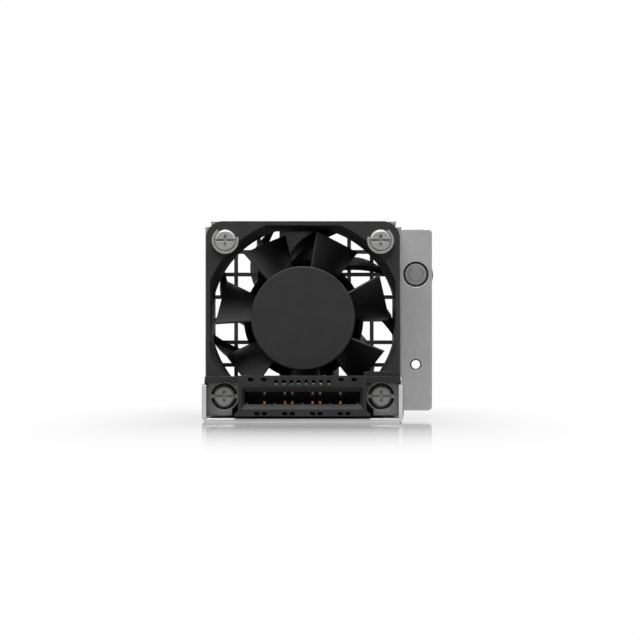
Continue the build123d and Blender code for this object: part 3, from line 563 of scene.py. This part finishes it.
def board():
    """Solder-masked laminate with a faint grain, darkened almost to black as painted shade for
    boards that sit deep inside.
    """
    return moulded(
        "board",
        dark=(0.004, 0.009, 0.006),
        light=(0.006, 0.013, 0.008),
        roughness=0.5,
        grain=2.5,
        depth=3e-6,
    )


def chip():
    return moulded(
        "chip", dark=grey(0.02), light=grey(0.028), roughness=0.5, grain=6.0, depth=1.5e-6
    )


def contact_copper():
    return metal(
        "contact_copper",
        dark=(0.34, 0.13, 0.055),
        light=(0.44, 0.18, 0.08),
        roughness=0.5,
        grain=6.0,
        depth=0.4e-6,
        stretch=(1, 0.1, 1),
        soften=FINE,
    )


def signal_gold():
    return metal(
        "signal_gold",
        dark=(0.78, 0.7, 0.58),
        light=(0.85, 0.77, 0.66),
        roughness=0.3,
        grain=6.0,
        depth=0.3e-6,
        soften=FINE,
    )


FINISHES = {
    make.__name__: make
    for make in (
        sheet_steel,
        black_plastic,
        impeller_plastic,
        connector_plastic,
        screw_steel,
        knob_metal,
        rotor_steel,
        magnet,
        brass,
        bearing_steel,
        cage_steel,
        spring_steel,
        lamination,
        insulator,
        winding,
        board,
        chip,
        contact_copper,
        signal_gold,
    )
}


def dress_nodes():
    """Every CAD node gets its slot's finish."""
    made = {}
    for entry in frame["record"]["subparts"]:
        slot = entry["material_slot"]
        if slot not in made:
            made[slot] = FINISHES[slot]()
        node = frame["nodes"][entry["node"]]
        node.data.materials.clear()
        node.data.materials.append(made[slot])
    return made


def new_piece(name, vertices, faces):
    mesh = bpy.data.meshes.new(name)
    mesh.from_pydata(vertices, [], faces)
    piece = bpy.data.objects.new(name, mesh)
    bpy.context.scene.collection.objects.link(piece)
    return piece


def tube_along(name, points, radius, sides):
    """A round wire through the points, closed at both ends."""
    vertices = []
    faces = []
    last = len(points) - 1
    for index, point in enumerate(points):
        way = points[min(index + 1, last)] - points[max(index - 1, 0)]
        turn = way.to_track_quat("Z", "Y")
        for side in range(sides):
            angle = 2 * math.pi * side / sides
            spoke = Vector((math.cos(angle), math.sin(angle), 0)) * radius
            vertices.append(point + turn @ spoke)
    for index in range(last):
        for side in range(sides):
            start = index * sides
            beside = (side + 1) % sides
            faces.append(
                (start + side, start + beside, start + sides + beside, start + sides + side)
            )
    faces.append(tuple(range(sides - 1, -1, -1)))
    faces.append(tuple(range(last * sides, (last + 1) * sides)))
    wire = new_piece(name, vertices, faces)
    wire.data.shade_smooth()
    return wire


def captive_spring():
    """Round wire in place of the flat-sided one."""
    low, high = (Vector(corner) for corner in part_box("thumbscrew_spring"))
    middle = (low + high) / 2
    radius = (high.z - low.z) / 2 - SPRING_WIRE
    length = high.y - low.y
    steps = SPRING_TURNS * SPRING_STEPS
    points = []
    for step in range(steps + 1):
        angle = 2 * math.pi * step / SPRING_STEPS
        y = low.y + SPRING_WIRE + (length - 2 * SPRING_WIRE) * step / steps
        points.append(
            Vector((middle.x + radius * math.cos(angle), y, middle.z - radius * math.sin(angle)))
        )
    spring = tube_along("captive_spring", points, SPRING_WIRE, SPRING_SIDES)
    spring.data.materials.append(finishes["spring_steel"])
    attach(spring, "root")
    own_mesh(spring)
    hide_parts("thumbscrew_spring")


def edge_points(edge, side):
    """One long edge of a guide vane: a shallow bow, moved sideways by half the thickness."""
    (start, end), origin, height, slope, bend = edge
    points = []
    for step in range(VANE_STEPS + 1):
        x = start + (end - start) * step / VANE_STEPS
        u = x - origin
        steep = slope + 2 * bend * u
        away = side * VANE_HALF / math.hypot(1, steep)
        points.append((x - away * steep, height + slope * u + bend * u * u + away))
    return points


def guide_vane(vertices, faces, degrees, front, back, reach):
    """A bowed vane that leans back from its front edge, closed at both ends."""
    corners = (
        (edge_points(VANE_FRONT_EDGE, -1), front),
        (edge_points(VANE_FRONT_EDGE, 1), front),
        (edge_points(VANE_BACK_EDGE, 1), back),
        (edge_points(VANE_BACK_EDGE, -1), back),
    )
    turn = Matrix.Rotation(-math.radians(degrees), 3, "Y")
    first = len(vertices)
    for step in range(VANE_STEPS + 1):
        for points, y in corners:
            x, z = points[step]
            place = turn @ Vector((x * MM, 0, z * MM))
            x = max(-reach, min(reach, place.x))
            z = max(-reach, min(reach, place.z))
            vertices.append(Vector((x, y, z)))
    for step in range(VANE_STEPS):
        for side in range(4):
            a = first + 4 * step + side
            b = first + 4 * step + (side + 1) % 4
            faces.append((a, a + 4, b + 4, b))
    last = first + 4 * VANE_STEPS
    faces.append((first, first + 1, first + 2, first + 3))
    faces.append((last + 3, last + 2, last + 1, last))


def base_profile(front, back):
    """The cup's section, as radius and y in metres, from the back round to the boss."""
    outer, inner = (radius * MM for radius in BASE_WALL)
    boss_outer, boss_inner, boss_height = (size * MM for size in BASE_BOSS)
    floor = back - BASE_FLOOR * MM
    rim = front + BASE_RIM * MM
    return [
        (outer, back),
        (outer, rim),
        (inner, rim),
        (inner, floor),
        (boss_outer, floor),
        (boss_outer, floor - boss_height),
        (boss_inner, floor - boss_height),
        (boss_inner, floor),
    ]


def turned(vertices, faces, profile):
    """The profile turned about the Y axis and closed at its two ends."""
    rings = len(profile)
    for step in range(BASE_STEPS):
        angle = 2 * math.pi * step / BASE_STEPS
        for radius, y in profile:
            vertices.append(Vector((radius * math.cos(angle), y, radius * math.sin(angle))))
        here = step * rings
        there = (step + 1) % BASE_STEPS * rings
        for ring in range(rings - 1):
            faces.append((here + ring, here + ring + 1, there + ring + 1, there + ring))
    faces.append(tuple(step * rings for step in range(BASE_STEPS)))
    faces.append(tuple(step * rings + rings - 1 for step in reversed(range(BASE_STEPS))))


def motor_base():
    """The cup behind the motor, with vanes that lean and bow as the photograph shows."""
    low, high = (Vector(corner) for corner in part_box("motor_base"))
    axis = (low + high) / 2
    vertices = []
    faces = []
    turned(vertices, faces, base_profile(low.y, high.y))
    reach = (high.x - low.x) / 2 - VANE_SPARE * MM
    for index in range(VANE_COUNT):
        guide_vane(vertices, faces, 360 * index / VANE_COUNT, low.y, high.y, reach)
    middle = Vector((axis.x, 0, axis.z))
    base = new_piece("motor_base_vanes", [point + middle for point in vertices], faces)
    base.data.materials.append(finishes["black_plastic"])
    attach(base, "root")
    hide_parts("motor_base")


def light_path_factor(tree):
    """1 for rays that should see the white background, 0 for the rest."""
    path = tree.nodes.new("ShaderNodeLightPath")
    total = path.outputs["Is Camera Ray"]
    for name in ("Is Glossy Ray", "Is Transmission Ray"):
        total = maths(tree, "MAXIMUM", total, path.outputs[name])
    return total


def make_world():
    """A white background, and a plain sky that lights the object."""
    world = bpy.data.worlds.new("studio")
    bpy.context.scene.world = world
    world.use_nodes = True
    tree = world.node_tree
    tree.nodes.clear()
    white = tree.nodes.new("ShaderNodeBackground")
    sky = tree.nodes.new("ShaderNodeBackground")
    coords = tree.nodes.new("ShaderNodeTexCoord")
    split = tree.nodes.new("ShaderNodeSeparateXYZ")
    ramp = tree.nodes.new("ShaderNodeValToRGB")
    ramp.color_ramp.elements[0].color = (SKY_BOTTOM, SKY_BOTTOM, SKY_BOTTOM, 1)
    ramp.color_ramp.elements[1].color = (SKY_TOP, SKY_TOP, SKY_TOP, 1)
    level = ramp.color_ramp.elements.new(SKY_HORIZON)
    level.color = (SKY_LEVEL, SKY_LEVEL, SKY_LEVEL, 1)
    height = tree.nodes.new("ShaderNodeMapRange")
    height.inputs["From Min"].default_value = -1
    tree.links.new(coords.outputs["Generated"], split.inputs[0])
    tree.links.new(split.outputs["Z"], height.inputs["Value"])
    tree.links.new(height.outputs["Result"], ramp.inputs["Fac"])
    tree.links.new(ramp.outputs["Color"], sky.inputs["Color"])
    mix = tree.nodes.new("ShaderNodeMixShader")
    output = tree.nodes.new("ShaderNodeOutputWorld")
    tree.links.new(light_path_factor(tree), mix.inputs[0])
    tree.links.new(sky.outputs[0], mix.inputs[1])
    tree.links.new(white.outputs[0], mix.inputs[2])
    tree.links.new(mix.outputs[0], output.inputs["Surface"])
    white.inputs["Color"].default_value = (1, 1, 1, 1)


def aim_at(thing, target):
    way = Vector(target) - thing.location
    thing.rotation_euler = way.to_track_quat("-Z", "Y").to_euler()


def make_lights():
    lamp = bpy.data.lights.new("key", "AREA")
    lamp.shape = "DISK"
    lamp.size = KEY_SIZE
    lamp.energy = KEY_POWER
    key = bpy.data.objects.new("key", lamp)
    key.location = KEY_PLACE
    bpy.context.scene.collection.objects.link(key)
    aim_at(key, AIM)


def footprint_distance(nodes, side=1.0):
    """How far a floor point lies from the tray's footprint, with sideways lengths scaled."""
    tree = nodes.tree
    split = nodes.add("ShaderNodeSeparateXYZ")
    nodes.join(nodes.place(), split.inputs[0])
    squares = []
    for axis, scale, (low, high) in zip("XY", (side, 1.0), FOOTPRINT):
        offset = maths(tree, "SUBTRACT", split.outputs[axis], (low + high) / 2)
        beyond = maths(tree, "SUBTRACT", maths(tree, "ABSOLUTE", offset), (high - low) / 2)
        outside = maths(tree, "MULTIPLY", maths(tree, "MAXIMUM", beyond, 0.0), scale)
        squares.append(maths(tree, "MULTIPLY", outside, outside))
    return maths(tree, "SQRT", maths(tree, "ADD", *squares))


def glowing(name):
    """Nodes without the usual shader, and the socket that takes another in its place."""
    nodes = Nodes(name)
    nodes.tree.nodes.remove(nodes.shader)
    output = next(node for node in nodes.tree.nodes if node.type == "OUTPUT_MATERIAL")
    return nodes, output.inputs["Surface"]


def mixed(nodes, factor, first, second):
    """The first shader, with this share of the second."""
    mix = nodes.add("ShaderNodeMixShader")
    nodes.join(factor, mix.inputs[0])
    nodes.join(first, mix.inputs[1])
    nodes.join(second, mix.inputs[2])
    return mix.outputs[0]


def make_floor():
    """White to the camera, a soft mirror near the object, and dim in reflections."""
    bpy.ops.mesh.primitive_plane_add(size=FLOOR_SIZE)
    floor = bpy.context.object
    floor.name = "floor"
    nodes, surface = glowing("floor")
    tree = nodes.tree

    white = nodes.add("ShaderNodeEmission", Strength=FLOOR_GLOW)
    mirror = nodes.add("ShaderNodeBsdfAnisotropic", Roughness=MIRROR_ROUGHNESS)
    away = footprint_distance(nodes, MIRROR_SIDE)
    fade = nodes.spread(away, 1, 0, MIRROR_START, MIRROR_END)
    share = maths(tree, "MULTIPLY", maths(tree, "POWER", fade, MIRROR_FALL), MIRROR_SHARE)
    slant = nodes.add("ShaderNodeLayerWeight")
    gloss = nodes.spread(slant.outputs["Facing"], MIRROR_STEEP, 1, *MIRROR_SLANTS)
    share = maths(tree, "MULTIPLY", share, gloss)
    seen = mixed(nodes, share, white.outputs[0], mirror.outputs[0])

    glow = nodes.add("ShaderNodeEmission")
    distance = footprint_distance(nodes)
    dim = nodes.spread(distance, FLOOR_NEAR_GLOW, FLOOR_FAR_GLOW, 0, FLOOR_FAR)
    nodes.join(dim, glow.inputs["Strength"])
    plain = nodes.add("ShaderNodeBsdfDiffuse", Color=FLOOR_COLOUR)
    path = nodes.add("ShaderNodeLightPath")
    other = mixed(nodes, path.outputs["Is Glossy Ray"], plain.outputs[0], glow.outputs[0])
    direct = maths(
        tree, "MAXIMUM", path.outputs["Is Camera Ray"], path.outputs["Is Transmission Ray"]
    )
    nodes.join(mixed(nodes, direct, other, seen), surface)
    floor.data.materials.append(nodes.material)


def make_card():
    """Upright behind the camera, dim at the object's level and brighter overhead."""
    bpy.ops.mesh.primitive_plane_add(size=1)
    card = bpy.context.object
    card.name = "card"
    card.scale = (*CARD_SIZE, 1)
    card.rotation_euler = (math.pi / 2, 0, 0)
    card.location = (0, CARD_Y, CARD_SIZE[1] / 2)
    nodes, surface = glowing("card")
    glow = nodes.add("ShaderNodeEmission")
    split = nodes.add("ShaderNodeSeparateXYZ")
    nodes.join(nodes.place(), split.inputs[0])
    level = nodes.spread(split.outputs["Y"], CARD_LOW, CARD_HIGH, 0, CARD_RISE)
    nodes.join(level, glow.inputs["Strength"])
    nodes.join(glow.outputs[0], surface)
    card.data.materials.append(nodes.material)
    card.visible_camera = False
    card.visible_diffuse = False
    card.visible_transmission = False
    card.visible_shadow = False


def make_camera():
    data = bpy.data.cameras.new("camera")
    data.lens = CAMERA_LENS
    data.shift_x, data.shift_y = CAMERA_SHIFT
    data.clip_start, data.clip_end = CAMERA_CLIP
    camera = bpy.data.objects.new("camera", data)
    camera.location = CAMERA_PLACE
    camera.rotation_euler = (math.pi / 2, 0, 0)
    bpy.context.scene.collection.objects.link(camera)
    bpy.context.scene.camera = camera


make_camera()
make_world()
make_lights()
make_floor()
make_card()
finishes = dress_nodes()
captive_spring()
motor_base()
bpy.context.scene.view_settings.view_transform = "Standard"
